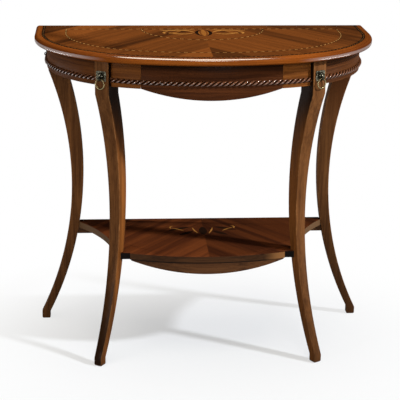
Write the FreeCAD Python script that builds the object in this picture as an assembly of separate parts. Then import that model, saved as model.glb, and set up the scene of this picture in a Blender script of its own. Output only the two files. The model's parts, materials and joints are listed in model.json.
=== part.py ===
import FreeCAD, Part
import math
import os

# A half-moon side table: veneered top, curved apron with a drawer, four sabre legs and a low shelf.
# Millimetres, +Z up, front towards -Y, origin on the floor under the middle of the top.

# Top, seen from above: straight ends, two side arcs and a flatter front arc
top_width = 880.0
end_straight = 114.9
side_radius = 345.6
front_radius = 683.5
table_height = 807.7
top_thickness = 18.7
veneer_thickness = 1.0
nosing_width = 18.2
nosing_crown = 8.6
nosing_undercut = 5.1

# Apron and the carved rope that is planted on it
apron_inset = 31.3
apron_thickness = 20.0
apron_height = 64.9
rope_width = 13.0
rope_proud = 6.5
rope_above_edge = 16.5
back_rail_thickness = 18.0
back_rail_inset = 4.0
top_rail_width = 48.0
top_rail_thickness = 14.0

# Sabre leg: a square block behind the apron, a bowed shaft and a short upright foot
leg_width = 39.3
leg_depth = 48.3
front_leg_proud = 12.7
rear_leg_setback = 1.7
leg_back_gap = 47.0
leg_block_below_apron = 20.8
front_leg_angle = 32.0
outer_bow = 71.1
inner_bow = 65.5
foot_splay = 31.0
foot_depth = 22.5
foot_width = 21.6
foot_height = 20.0
foot_chamfer = 2.5

# Drawer in the middle of the front
drawer_seam_from_leg = 95.4
drawer_front_thickness = 18.0
drawer_gap = 1.0
drawer_top_gap = 2.0
drawer_drop = 25.5
drawer_box_inset = 21.0
drawer_box_height = 40.0
drawer_box_lift = 7.0
drawer_side_thickness = 12.0
drawer_back_thickness = 10.0
drawer_back_setback = 92.0
drawer_bottom_thickness = 5.0
drawer_bottom_lift = 4.0
drawer_groove_depth = 5.0
runner_base_height = 6.0
runner_base_reach = 10.0
runner_guide_height = 28.0
runner_overlap = 18.0
running_gap = 0.6
stop_length = 14.0
stop_height = 14.0

# Cast plate with a hanging ring on each leg block
plate_width = 28.0
plate_height = 24.5
plate_corner = 3.0
plate_thickness = 2.0
plate_above_kink = 35.0
ring_radius = 12.0
ring_wire = 3.0
eye_bore = 4.8
eye_outer = 8.6
eye_length = 6.0
eye_above_plate_foot = 5.5
eye_reach = 7.0
mask_radius = 9.8
mask_height = 5.0
mask_above_eye = 6.9
pin_shank = 1.6
pin_head = 2.6
pin_head_height = 0.8
pin_length = 12.0
pin_edge = 2.2

# Shelf between the legs
shelf_height = 282.0
shelf_thickness = 17.5
shelf_back_inset = 60.0
shelf_side_bow = 21.0
shelf_bow_from_leg = 35.0
shelf_bow_ahead = 13.1
shelf_front_bow = 34.5
shelf_neck = 4.0
veneer_headroom = 12.0
valance_thickness = 14.0
valance_setback = 1.0
valance_end_height = 2.0
valance_drop = 30.0
shelf_rail_height = 18.0
shelf_rail_thickness = 13.0

# Fixings
dowel_diameter = 8.0
dowel_length = 32.0
dowel_edge = 14.0
shelf_dowel_edge = 9.0
screw_shank = 4.0
screw_head = 8.0
screw_head_height = 3.0
screw_bite = 12.0
corner_block_side = 40.0
corner_block_height = 36.0
screw_from_corner = 13.5
fixing_clearance = 0.1

V = FreeCAD.Vector
UP = V(0, 0, 1)

half_width = top_width / 2
side_centre_x = half_width - side_radius
centre_distance = front_radius - side_radius
arc_turn = math.degrees(math.asin(side_centre_x / centre_distance))
top_depth = end_straight + front_radius - math.sqrt(centre_distance ** 2 - side_centre_x ** 2)
back_y = top_depth / 2
side_centre_y = back_y - end_straight
front_centre_y = back_y - top_depth + front_radius

under_top = table_height - top_thickness
core_top = table_height - veneer_thickness
apron_bottom = under_top - apron_height
rope_z = apron_bottom + rope_above_edge
kink_z = apron_bottom - leg_block_below_apron
apron_back = apron_inset + apron_thickness
shelf_core_top = shelf_height - veneer_thickness
shelf_bottom = shelf_height - shelf_thickness
diagonal_share = 1 - math.sqrt(0.5)


def on_arc(centre_x, centre_y, radius, angle):
    """A point of the plan; the angle is in degrees from the front, positive to the right."""
    turn = math.radians(angle)
    return V(centre_x + radius * math.sin(turn), centre_y - radius * math.cos(turn), 0)


def mirrored_x(point):
    return V(-point.x, point.y, point.z)


def line(start, end):
    return Part.LineSegment(start, end).toShape()


def arc(start, middle, end):
    return Part.Arc(start, middle, end).toShape()


def face_of(*edges):
    return Part.Face(Part.Wire(Part.__sortEdges__(list(edges))))


def prism(face, low, high):
    return face.translated(V(0, 0, low)).extrude(V(0, 0, high - low))


def block(x0, x1, y0, y1, z0, z1):
    return Part.makeBox(x1 - x0, y1 - y0, z1 - z0, V(x0, y0, z0))


def rod(start, direction, length, diameter):
    return Part.makeCylinder(diameter / 2, length, start, direction)


def plan_face(inset, back_inset):
    """The half-moon outline, drawn in by inset all round and cut straight at the back."""
    side = side_radius - inset
    back = V(half_width - inset, back_y - back_inset, 0)
    turn = V(half_width - inset, side_centre_y, 0)
    side_middle = on_arc(side_centre_x, side_centre_y, side, (math.degrees(math.pi / 2) + arc_turn) / 2)
    join = on_arc(side_centre_x, side_centre_y, side, arc_turn)
    nose = on_arc(0, front_centre_y, front_radius - inset, 0)
    return face_of(
        line(mirrored_x(back), back),
        line(back, turn),
        arc(turn, side_middle, join),
        arc(join, nose, mirrored_x(join)),
        arc(mirrored_x(join), mirrored_x(side_middle), mirrored_x(turn)),
        line(mirrored_x(turn), mirrored_x(back)),
    )


def plan_band(outer_inset, inner_inset, low, high):
    """A curved wall that follows the outline, open at the back."""
    middle_of_rear_leg = leg_back_gap + leg_width / 2
    outer = plan_face(outer_inset, middle_of_rear_leg)
    inner = plan_face(inner_inset, middle_of_rear_leg)
    return prism(outer, low, high).cut(prism(inner, low, high))


def swept_round(section):
    """Carry a section round the outline; section(at) draws it, with at(inset, z) for its points."""
    def at_back(inset, z):
        return V(half_width - inset, back_y, z)

    def at_turn(inset, z):
        return V(half_width - inset, side_centre_y, z)

    def at_join(inset, z):
        spot = on_arc(0, front_centre_y, front_radius - inset, arc_turn)
        return V(spot.x, spot.y, z)

    quarter = math.degrees(math.pi / 2)
    end = section(at_back).extrude(V(0, -end_straight, 0))
    side = section(at_turn).revolve(V(side_centre_x, side_centre_y, 0), UP, arc_turn - quarter)
    front = section(at_join).revolve(V(0, front_centre_y, 0), UP, -2 * arc_turn)
    left = [piece.mirror(V(0, 0, 0), V(1, 0, 0)) for piece in (end, side)]
    return end.fuse([side, front] + left).removeSplitter()


def left_to_right(shape):
    return sorted(shape.Solids, key=lambda solid: solid.BoundBox.Center.x)


# Where the legs stand: the middle of each block's outer face, and the way it faces
front_anchor = on_arc(side_centre_x, side_centre_y, side_radius - apron_inset + front_leg_proud, front_leg_angle)
rear_anchor = V(half_width - apron_inset - rear_leg_setback, back_y - leg_back_gap - leg_width / 2, 0)
side_turn = math.degrees(math.pi / 2)
LEGS = {
    "front_left": (mirrored_x(front_anchor), -front_leg_angle),
    "front_right": (front_anchor, front_leg_angle),
    "rear_left": (mirrored_x(rear_anchor), -side_turn),
    "rear_right": (rear_anchor, side_turn),
}


def stand(shape, place):
    """Move a piece drawn with +X outwards and its block face at x = 0 to one leg's place."""
    anchor, facing = LEGS[place]
    moved = shape.copy()
    moved.rotate(V(0, 0, 0), UP, facing - side_turn)
    moved.translate(anchor)
    return moved


def bow_circle(top_x, foot_x, bow):
    """Centre and radius, in the leg's own X and Z, of the arc that bows inwards between kink and foot."""
    across = foot_x - top_x
    down = foot_height - kink_z
    chord = math.hypot(across, down)
    radius = chord ** 2 / (8 * bow) + bow / 2
    reach = radius - bow
    centre_x = (top_x + foot_x) / 2 - down / chord * reach
    centre_z = (kink_z + foot_height) / 2 + across / chord * reach
    return centre_x, centre_z, radius


def bow_at(top_x, foot_x, bow, z):
    centre_x, centre_z, radius = bow_circle(top_x, foot_x, bow)
    return centre_x - math.sqrt(radius ** 2 - (z - centre_z) ** 2)


def leg_inner_x(z):
    return bow_at(-leg_depth, foot_splay - foot_depth, inner_bow, z)


def make_leg():
    """Side view extruded, then tapered in front view; the foot is chamfered at the floor."""
    foot_inner = foot_splay - foot_depth
    middle_z = (kink_z + foot_height) / 2
    half = leg_width / 2
    half_foot = foot_width / 2

    def point(x, z):
        return V(x, -half, z)

    outer_middle = point(bow_at(0, foot_splay, outer_bow, middle_z), middle_z)
    inner_middle = point(leg_inner_x(middle_z), middle_z)
    side_view = face_of(
        line(point(-leg_depth, under_top), point(0, under_top)),
        line(point(0, under_top), point(0, kink_z)),
        arc(point(0, kink_z), outer_middle, point(foot_splay, foot_height)),
        line(point(foot_splay, foot_height), point(foot_splay, 0)),
        line(point(foot_splay, 0), point(foot_inner, 0)),
        line(point(foot_inner, 0), point(foot_inner, foot_height)),
        arc(point(foot_inner, foot_height), inner_middle, point(-leg_depth, kink_z)),
        line(point(-leg_depth, kink_z), point(-leg_depth, under_top)),
    ).extrude(V(0, leg_width, 0))
    behind = -leg_depth - outer_bow - inner_bow
    ahead = leg_depth + foot_splay
    corners = [
        V(behind, -half, under_top), V(behind, half, under_top), V(behind, half, kink_z),
        V(behind, half_foot, foot_height), V(behind, half_foot, 0), V(behind, -half_foot, 0),
        V(behind, -half_foot, foot_height), V(behind, -half, kink_z),
    ]
    front_view = Part.Face(Part.makePolygon(corners + corners[:1])).extrude(V(ahead - behind, 0, 0))
    leg = side_view.common(front_view).Solids[0]
    floor_edges = [edge for edge in leg.Edges if edge.BoundBox.ZMax < fixing_clearance]
    return leg.makeChamfer(foot_chamfer, floor_edges)


def slot(place, width):
    """Everything between two upright planes beside a leg, used to part the curved pieces at it."""
    reach = back_y
    gap = block(-reach, reach, -width / 2, width / 2, 0, table_height)
    return stand(gap, place)


# Top: core board, veneer sheet and solid edge moulding
def nosing_section(at):
    """Solid edge: flat where it meets the board, a full round above and a smaller one below."""
    crown_low = table_height - nosing_crown
    crown_bend = nosing_crown * diagonal_share
    belly_high = under_top + nosing_undercut
    belly_bend = nosing_undercut * diagonal_share
    return face_of(
        line(at(nosing_width, under_top), at(nosing_width, table_height)),
        line(at(nosing_width, table_height), at(nosing_crown, table_height)),
        arc(at(nosing_crown, table_height), at(crown_bend, table_height - crown_bend), at(0, crown_low)),
        line(at(0, crown_low), at(0, belly_high)),
        arc(at(0, belly_high), at(belly_bend, under_top + belly_bend), at(nosing_undercut, under_top)),
        line(at(nosing_undercut, under_top), at(nosing_width, under_top)),
    )


board_outline = plan_face(nosing_width, 0)
top_core = prism(board_outline, under_top, core_top)
top_veneer = prism(board_outline, core_top, table_height)
top_nosing = swept_round(nosing_section)


# Apron sections between the legs, and the half-round rope blanks planted on them
def rope_section(at):
    half = rope_width / 2
    low = at(apron_inset, rope_z - half)
    high = at(apron_inset, rope_z + half)
    return face_of(arc(low, at(apron_inset - rope_proud, rope_z), high), line(high, low))


def parted(shape):
    """Left, middle and right pieces of a curved wall that the four legs interrupt."""
    return left_to_right(shape.cut([slot(place, leg_width) for place in LEGS]))


half_front = front_anchor.x - drawer_seam_from_leg
half_seam = half_front + drawer_gap
seam_gap = block(-half_seam, half_seam, -top_depth, back_y, 0, table_height)
apron = parted(plan_band(apron_inset, apron_back, apron_bottom, under_top))
front_apron = left_to_right(apron[1].cut(seam_gap))
behind_rear_legs = block(-top_width, top_width, rear_anchor.y, top_depth, 0, table_height)
rope = parted(swept_round(rope_section).cut(behind_rear_legs))
front_slab = block(-half_front, half_front, -top_depth, back_y, 0, table_height)
front_rope = left_to_right(rope[1].cut(seam_gap))
drawer_rope = rope[1].common(front_slab)
rail_low = under_top - top_rail_thickness
top_rail = parted(plan_band(apron_back, apron_back + top_rail_width, rail_low, under_top))[1]

back_rail_y = back_y - leg_back_gap - back_rail_inset
back_rail_front = back_rail_y - back_rail_thickness
back_rail_half = rear_anchor.x - leg_depth
back_rail = block(-back_rail_half, back_rail_half, back_rail_front, back_rail_y, apron_bottom, under_top)

# Drawer: bowed front with a dropped lower edge, and a plain box behind it
front_top = under_top - drawer_top_gap
front_view = face_of(
    line(V(-half_front, -top_depth, front_top), V(half_front, -top_depth, front_top)),
    line(V(half_front, -top_depth, front_top), V(half_front, -top_depth, apron_bottom)),
    arc(
        V(half_front, -top_depth, apron_bottom),
        V(0, -top_depth, apron_bottom - drawer_drop),
        V(-half_front, -top_depth, apron_bottom),
    ),
    line(V(-half_front, -top_depth, apron_bottom), V(-half_front, -top_depth, front_top)),
).extrude(V(0, top_depth, 0))
front_back_inset = apron_inset + drawer_front_thickness
front_wall = plan_band(apron_inset, front_back_inset, apron_bottom - drawer_drop, under_top)
drawer_front = front_wall.common(front_view)

half_box = half_front - drawer_box_inset
inside_half = half_box - drawer_side_thickness
box_low = apron_bottom + drawer_box_lift
box_high = box_low + drawer_box_height
bottom_low = box_low + drawer_bottom_lift
bottom_high = bottom_low + drawer_bottom_thickness
drawer_rear = back_y - drawer_back_setback
behind_front = prism(plan_face(front_back_inset, 0), 0, table_height)
side_board = block(inside_half, half_box, -top_depth, drawer_rear, box_low, box_high).common(behind_front)
groove = block(
    inside_half,
    inside_half + drawer_groove_depth + fixing_clearance,
    -top_depth,
    drawer_rear,
    bottom_low - fixing_clearance,
    bottom_high + fixing_clearance,
)
drawer_side_right = side_board.cut(groove)
drawer_side_left = drawer_side_right.mirror(V(0, 0, 0), V(1, 0, 0))
bottom_half = inside_half + drawer_groove_depth
drawer_bottom = block(-bottom_half, bottom_half, -top_depth, drawer_rear, bottom_low, bottom_high)
drawer_bottom = drawer_bottom.common(behind_front)
drawer_back = block(
    -inside_half, inside_half, drawer_rear - drawer_back_thickness, drawer_rear, bottom_high, box_high
)

# Runners: a base under each drawer side and a guide beside it, from the apron to the back rail
runner_top = box_low - running_gap + runner_guide_height
runner_low = box_low - running_gap - runner_base_height
guide_x = half_box + running_gap
runner_outer = half_seam + runner_overlap
runner_blank = block(guide_x, runner_outer, -top_depth, back_rail_front, runner_low, runner_top)
base_low_x = inside_half - runner_base_reach
runner_base = block(base_low_x, guide_x, -top_depth, back_rail_front, runner_low, box_low - running_gap)
behind_apron = prism(plan_face(apron_back, 0), 0, table_height)
runner_right = runner_blank.fuse(runner_base).common(behind_apron).removeSplitter()
runner_left = runner_right.mirror(V(0, 0, 0), V(1, 0, 0))
stop_front = drawer_rear + running_gap
stop_right = block(
    base_low_x,
    half_box,
    stop_front,
    stop_front + stop_length,
    box_low - running_gap,
    box_low - running_gap + stop_height,
)
stops = [stop_right.mirror(V(0, 0, 0), V(1, 0, 0)), stop_right]


# Ring plates and rings, drawn on a leg block that faces +X
plate_foot = kink_z + plate_above_kink
eye_z = plate_foot + eye_above_plate_foot


def pin_spots():
    side = plate_width / 2 - pin_edge
    return [V(0, way * side, plate_foot + plate_width / 2) for way in (-1, 1)]


def make_plate():
    """Backplate with rounded upper corners, a domed mask and the bored eye that the ring hangs in."""
    half = plate_width / 2
    crown = plate_foot + plate_height
    shoulder = crown - plate_corner
    flat = half - plate_corner
    bend = plate_corner * diagonal_share
    outline = face_of(
        line(V(0, -half, plate_foot), V(0, half, plate_foot)),
        line(V(0, half, plate_foot), V(0, half, shoulder)),
        arc(V(0, half, shoulder), V(0, half - bend, crown - bend), V(0, flat, crown)),
        line(V(0, flat, crown), V(0, -flat, crown)),
        arc(V(0, -flat, crown), V(0, bend - half, crown - bend), V(0, -half, shoulder)),
        line(V(0, -half, shoulder), V(0, -half, plate_foot)),
    )
    plate = outline.extrude(V(plate_thickness, 0, 0))
    dome_radius = (mask_radius ** 2 + mask_height ** 2) / (2 * mask_height)
    dome_x = plate_thickness + mask_height - dome_radius
    dome = Part.makeSphere(dome_radius, V(dome_x, 0, eye_z + mask_above_eye))
    dome = dome.common(block(0, eye_reach, -half, half, plate_foot, crown))
    barrel = rod(V(eye_reach, -eye_length / 2, eye_z), V(0, 1, 0), eye_length, eye_outer)
    half_web = eye_length / 2
    web = block(0, eye_reach, -half_web, half_web, eye_z - eye_outer / 2, eye_z + eye_outer / 2)
    web = web.common(block(0, eye_reach, -half, half, plate_foot, crown))
    bore = rod(V(eye_reach, -half, eye_z), V(0, 1, 0), plate_width, eye_bore)
    holes = [rod(spot, V(1, 0, 0), plate_thickness, pin_shank + fixing_clearance) for spot in pin_spots()]
    return plate.fuse([dome, barrel, web]).cut([bore] + holes).removeSplitter()


def make_pins():
    pins = []
    for spot in pin_spots():
        head = rod(spot + V(plate_thickness, 0, 0), V(1, 0, 0), pin_head_height, pin_head)
        shank = rod(spot + V(plate_thickness - pin_length, 0, 0), V(1, 0, 0), pin_length, pin_shank)
        pins.append(head.fuse(shank).removeSplitter())
    return pins


def pin_holes():
    depth = pin_length - plate_thickness + fixing_clearance
    return [rod(spot, V(-1, 0, 0), depth, pin_shank + fixing_clearance) for spot in pin_spots()]


plate = make_plate()
ring = Part.makeTorus(ring_radius, ring_wire / 2, V(eye_reach, 0, eye_z - ring_radius), V(1, 0, 0))


# Dowels: two in each joint of apron and leg, lying across the joint
def dowel_pair(centre, direction):
    unit = V(direction).normalize()
    start = centre - unit * (dowel_length / 2)
    heights = [apron_bottom + dowel_edge, under_top - dowel_edge]
    return [(V(start.x, start.y, z), unit) for z in heights]


def apron_dowels():
    """Places and directions of the dowels on the right-hand side of the table."""
    along = on_arc(0, 0, 1, front_leg_angle + side_turn)
    depth = front_leg_proud + apron_thickness / 2
    outwards = on_arc(0, 0, 1, front_leg_angle)
    middle = front_anchor - outwards * depth
    places = dowel_pair(middle + along * (leg_width / 2), along)
    places += dowel_pair(middle - along * (leg_width / 2), along)
    side_x = half_width - apron_inset - apron_thickness / 2
    places += dowel_pair(V(side_x, rear_anchor.y - leg_width / 2, 0), V(0, 1, 0))
    rail_y = back_rail_y - back_rail_thickness / 2
    places += dowel_pair(V(back_rail_half, rail_y, 0), V(1, 0, 0))
    return places


def shelf_dowels():
    """One dowel from each right-hand leg into the end of the shelf."""
    z = shelf_bottom + shelf_thickness / 2
    inwards = leg_inner_x(z)
    outwards = on_arc(0, 0, 1, front_leg_angle)
    front = front_anchor + outwards * (inwards - dowel_length / 2)
    rear_y = back_y - shelf_back_inset - shelf_dowel_edge
    rear = V(rear_anchor.x + inwards - dowel_length / 2, rear_y, 0)
    return [(V(front.x, front.y, z), outwards), (V(rear.x, rear.y, z), V(1, 0, 0))]


def both_sides(solids):
    return solids + [solid.mirror(V(0, 0, 0), V(1, 0, 0)) for solid in solids]


def rods_at(places, spare):
    """Round rods at the given places on both sides of the table; spare widens and lengthens a hole."""
    return both_sides([
        rod(start - way * spare, way, dowel_length + 2 * spare, dowel_diameter + 2 * spare)
        for start, way in places
    ])


apron_dowel_rods = rods_at(apron_dowels(), 0)
apron_dowel_holes = rods_at(apron_dowels(), fixing_clearance)
shelf_dowel_rods = rods_at(shelf_dowels(), 0)
shelf_dowel_holes = rods_at(shelf_dowels(), fixing_clearance)

# Legs, drilled for the dowels and the plate pins
leg_blank = make_leg()
legs = {}
for place in LEGS:
    drilled = leg_blank.cut(pin_holes())
    legs[place] = stand(drilled, place).cut(apron_dowel_holes + shelf_dowel_holes)

# Shelf: hollowed sides that run into the legs, bowed front, valance and back rail under it
shelf_back_y = back_y - shelf_back_inset
shelf_level = shelf_bottom + shelf_thickness / 2
leg_skin = leg_inner_x(shelf_level)
into_leg = leg_skin + foot_depth / 2
shelf_rear_x = rear_anchor.x + into_leg
front_ways = on_arc(0, 0, 1, front_leg_angle)
front_along = on_arc(0, 0, 1, front_leg_angle + side_turn)
front_heart = front_anchor + front_ways * into_leg
side_end = front_anchor + front_ways * leg_skin + front_along * (foot_width / 2)
side_start = V(rear_anchor.x + leg_skin, rear_anchor.y - foot_width / 2, 0)
half_bow = front_heart.x - shelf_bow_from_leg
bow_end_y = front_heart.y - shelf_bow_ahead
bow_front_y = bow_end_y - shelf_front_bow
neck_back = bow_end_y + shelf_neck
bow_radius = half_bow ** 2 / (2 * shelf_front_bow) + shelf_front_bow / 2


def bowed_middle(start, end, bow):
    """Middle of an arc that bows to the left of the way from start to end."""
    way = end - start
    left = V(-way.y, way.x, 0).normalize()
    return (start + end) / 2 + left * bow


def shelf_face():
    right = [
        V(shelf_rear_x, shelf_back_y, 0),
        V(shelf_rear_x, side_start.y, 0),
        side_start,
        side_end,
        front_heart,
        V(front_heart.x, neck_back, 0),
        V(half_bow, neck_back, 0),
        V(half_bow, bow_end_y, 0),
    ]
    hollow = bowed_middle(side_end, side_start, shelf_side_bow)
    edges = [line(mirrored_x(right[0]), right[0])]
    for start, end in zip(right, right[1:]):
        bowed = start is side_start
        edges.append(arc(start, hollow, end) if bowed else line(start, end))
        left_start, left_end = mirrored_x(start), mirrored_x(end)
        edges.append(arc(left_start, mirrored_x(hollow), left_end) if bowed else line(left_start, left_end))
    edges.append(arc(right[-1], V(0, bow_front_y, 0), mirrored_x(right[-1])))
    return face_of(*edges)


# The legs lean over the shelf, so the veneer is trimmed until a thing of that height can stand up to them
all_legs = list(legs.values())
headroom = [leg.translated(V(0, 0, -veneer_headroom)) for leg in all_legs]
shelf_outline = shelf_face()
shelf_core = prism(shelf_outline, shelf_bottom, shelf_core_top).cut(all_legs + shelf_dowel_holes).Solids[0]
shelf_veneer = prism(shelf_outline, shelf_core_top, shelf_height).cut(all_legs + headroom).Solids[0]

valance_low = shelf_bottom - valance_drop
bow_centre_y = bow_front_y + bow_radius
outer_bow_disc = Part.makeCylinder(bow_radius - valance_setback, shelf_height, V(0, bow_centre_y, 0))
inner_bow_disc = Part.makeCylinder(bow_radius - valance_setback - valance_thickness, shelf_height,
                                   V(0, bow_centre_y, 0))
half_valance = half_bow - valance_setback
valance_end = shelf_bottom - valance_end_height
valance_view = face_of(
    line(V(-half_valance, -top_depth, shelf_bottom), V(half_valance, -top_depth, shelf_bottom)),
    line(V(half_valance, -top_depth, shelf_bottom), V(half_valance, -top_depth, valance_end)),
    arc(
        V(half_valance, -top_depth, valance_end),
        V(0, -top_depth, valance_low),
        V(-half_valance, -top_depth, valance_end),
    ),
    line(V(-half_valance, -top_depth, valance_end), V(-half_valance, -top_depth, shelf_bottom)),
).extrude(V(0, top_depth + bow_end_y, 0))
shelf_valance = outer_bow_disc.cut(inner_bow_disc).common(valance_view).Solids[0]

shelf_rail = block(
    -shelf_rear_x,
    shelf_rear_x,
    shelf_back_y - shelf_rail_thickness,
    shelf_back_y,
    shelf_bottom - shelf_rail_height,
    shelf_bottom,
).cut(all_legs)
shelf_rail = max(shelf_rail.Solids, key=lambda solid: solid.Volume)

# Corner blocks behind the rear legs' inner faces, and the screws that pull the top down
block_low = under_top - corner_block_height
corner = V(back_rail_half, back_rail_front, 0)
corner_block = prism(
    Part.Face(Part.makePolygon([
        corner,
        corner - V(corner_block_side, 0, 0),
        corner - V(0, corner_block_side, 0),
        corner,
    ])),
    block_low,
    under_top,
)


def screw(spot, grip, spare):
    """A countersunk screw that stands upright, its head flush at the spot; spare opens it into a hole."""
    head_cone = Part.makeCone(screw_head / 2 + spare, screw_shank / 2 + spare, screw_head_height, spot)
    shank = rod(spot, UP, grip + screw_bite + spare, screw_shank + 2 * spare)
    return head_cone.fuse(shank).removeSplitter()


def top_screws(spare):
    block_spot = V(corner.x - screw_from_corner, corner.y - screw_from_corner, block_low)
    solids = both_sides([screw(block_spot, corner_block_height, spare)])
    rail_middle = front_radius - apron_back - top_rail_width / 2
    for way in (-1, 0, 1):
        spot = on_arc(0, front_centre_y, rail_middle, way * arc_turn / 2)
        solids.append(screw(V(spot.x, spot.y, rail_low), top_rail_thickness, spare))
    return solids


screw_holes = top_screws(fixing_clearance)

PARTS = {
    "top_core": top_core.cut(screw_holes),
    "top_veneer": top_veneer,
    "top_edge_moulding": top_nosing,
    "back_rail": back_rail.cut(apron_dowel_holes),
    "front_top_rail": top_rail.cut(screw_holes),
    "side_apron_left": apron[0].cut(apron_dowel_holes),
    "side_apron_right": apron[2].cut(apron_dowel_holes),
    "front_apron_left": front_apron[0].cut(apron_dowel_holes),
    "front_apron_right": front_apron[1].cut(apron_dowel_holes),
    "side_rope_left": rope[0],
    "side_rope_right": rope[2],
    "front_rope_left": front_rope[0],
    "front_rope_right": front_rope[1],
    "corner_blocks": Part.makeCompound(both_sides([corner_block.cut(screw_holes)])),
    "top_screws": Part.makeCompound(top_screws(0)),
    "apron_dowels": Part.makeCompound(apron_dowel_rods),
    "drawer_runner_left": runner_left,
    "drawer_runner_right": runner_right,
    "drawer_stops": Part.makeCompound(stops),
    "drawer_front": drawer_front,
    "drawer_rope": drawer_rope,
    "drawer_side_left": drawer_side_left,
    "drawer_side_right": drawer_side_right,
    "drawer_back": drawer_back,
    "drawer_bottom": drawer_bottom,
    "shelf_core": shelf_core,
    "shelf_veneer": shelf_veneer,
    "shelf_valance": shelf_valance,
    "shelf_back_rail": shelf_rail,
    "shelf_dowels": Part.makeCompound(shelf_dowel_rods),
    "plate_pins": Part.makeCompound([stand(pin, place) for place in LEGS for pin in make_pins()]),
}
for place in LEGS:
    PARTS["leg_" + place] = legs[place]
    PARTS["ring_plate_" + place] = stand(plate, place)
    PARTS["ring_" + place] = stand(ring, place)

os.makedirs("parts", exist_ok=True)
for node, shape in PARTS.items():
    whole = shape.Solids[0] if len(shape.Solids) == 1 else Part.makeCompound(shape.Solids)
    whole.exportStep("parts/" + node + ".step")
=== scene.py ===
import json
import math

import bmesh
import bpy
import numpy as np
from mathutils import Matrix, Vector


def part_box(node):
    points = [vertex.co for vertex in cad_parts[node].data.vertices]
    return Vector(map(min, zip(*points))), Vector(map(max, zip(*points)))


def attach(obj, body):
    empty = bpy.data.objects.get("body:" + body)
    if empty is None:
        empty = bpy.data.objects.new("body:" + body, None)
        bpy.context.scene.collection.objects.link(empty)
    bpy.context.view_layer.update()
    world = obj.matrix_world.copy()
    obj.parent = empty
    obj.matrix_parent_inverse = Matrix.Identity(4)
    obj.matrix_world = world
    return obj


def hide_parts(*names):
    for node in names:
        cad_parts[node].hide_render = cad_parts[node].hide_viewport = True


# A half-moon side table with a drawer, four sabre legs and a low shelf, all in polished walnut.
# Metres, front towards -Y, floor at z = 0. Pieces are drawn straight, then bent or stood in place.
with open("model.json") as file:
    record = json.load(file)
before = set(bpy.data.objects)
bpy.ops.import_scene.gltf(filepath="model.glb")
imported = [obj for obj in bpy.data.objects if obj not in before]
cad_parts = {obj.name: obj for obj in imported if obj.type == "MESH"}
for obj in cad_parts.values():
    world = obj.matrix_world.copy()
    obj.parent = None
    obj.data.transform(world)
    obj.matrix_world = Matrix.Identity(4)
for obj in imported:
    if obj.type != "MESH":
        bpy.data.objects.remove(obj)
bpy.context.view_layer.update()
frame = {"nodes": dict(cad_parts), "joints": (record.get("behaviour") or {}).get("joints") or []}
nodes = frame["nodes"]


# Sabre legs: each sawn from one solid walnut board, square in the block that the apron is dowelled to,
# bowed inwards below it and ended in a small upright foot. The arrises are eased by hand and rubbed by use.
# Shade is painted into the wood: darker towards the feet, most on the front left leg's outer face, near black
# on the front legs' sides up under the apron, and darker on the rear right leg's sides; the front legs' sides
# are painted lighter and warmer below that, as painted light.
leg_width, leg_depth, leg_block = 0.0393, 0.0483, 0.0857
leg_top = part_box("leg_rear_right")[1].z
leg_kink = leg_top - leg_block
outer_bow, inner_bow = 0.0711, 0.0655
foot_splay, foot_depth, foot_width, foot_height = 0.031, 0.0225, 0.0216, 0.020
foot_chamfer = 0.0025
leg_steps, leg_arris = 30, 0.0018
# Heights over which painted shade darkens the legs towards the feet and the top.
foot_shade_span, head_shade_from, head_shade_share = (0.03, 0.45), 0.5, 0.94
wood_coat, dull_coat, bright_coat = 0.06, 0.28, 0.13
drift_share, wear_share, pore_share, pore_dark = 0.35, 0.75, 0.6, 0.35
tone_gloss, pore_gloss, tone_height, pore_depth = 0.08, 0.14, 0.25, 0.0004
arris_angle, smooth_angle = math.radians(40), math.radians(35)
facing, outer_facing, straight = 0.9, 0.7, 0.99
eye_reach = 0.007


def colour(red, green, blue):
    """A colour as the eye reads it, 0 to 255 a channel, for a shader socket."""
    shares = [channel / 255 for channel in (red, green, blue)]
    return (*[s / 12.92 if s < 0.04045 else ((s + 0.055) / 1.055) ** 2.4 for s in shares], 1.0)


class Socket:
    """A node's output. Sums on it add Math nodes, and node() adds any other kind to the same tree."""

    def __init__(self, tree, output=None):
        self.tree = tree
        self.output = output

    def node(self, kind, inputs=None, settings=None, result=0):
        made = self.tree.nodes.new("ShaderNode" + kind)
        for name, value in (settings or {}).items():
            if name != "stops":
                setattr(made, name, value)
                continue
            elements = made.color_ramp.elements
            elements.remove(elements[1])
            elements[0].position, elements[0].color = value[0]
            for place, shade in value[1:]:
                elements.new(place).color = shade
        for name, value in (inputs or {}).items():
            if isinstance(value, Socket):
                value.feed(made, name)
            else:
                made.inputs[name].default_value = value
        return Socket(self.tree, made.outputs[result])

    def feed(self, taker, name):
        """Lead this output into an input of another node."""
        self.tree.links.new(self.output, taker.inputs[name])

    def math(self, operation, *others):
        return self.node("Math", dict(enumerate((self, *others))), {"operation": operation})

    def __add__(self, other):
        return self.math("ADD", other)

    def __sub__(self, other):
        return self.math("SUBTRACT", other)

    def __rsub__(self, other):
        return self.node("Math", {0: other, 1: self}, {"operation": "SUBTRACT"})

    def __mul__(self, other):
        return self.math("MULTIPLY", other)

    def __truediv__(self, other):
        return self.math("DIVIDE", other)

    def __abs__(self):
        return self.math("ABSOLUTE")

    def __lt__(self, limit):
        return self.math("LESS_THAN", limit)

    def __gt__(self, limit):
        return self.math("GREATER_THAN", limit)

    __radd__ = __add__
    __rmul__ = __mul__


def rise(value, low, high):
    """0 below low, 1 above high, and a soft step between them."""
    return value.node(
        "MapRange", {"Value": value, "From Min": low, "From Max": high}, {"interpolation_type": "SMOOTHSTEP"}
    )


def blend(share, first, second):
    """A colour between two, by a share that changes over the surface."""
    return share.node("Mix", {0: share, 6: first, 7: second}, {"data_type": "RGBA"}, 2)


def place_on(start):
    """Place on a piece, in the table's metres."""
    return start.node("TexCoord", result="Object")


def part(place, axis):
    return place.node("SeparateXYZ", {"Vector": place}, result=axis)


def stored(start, name, kind="Fac"):
    """What was written on the points of a mesh under this name."""
    return start.node("Attribute", settings={"attribute_name": name}, result=kind)


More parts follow.
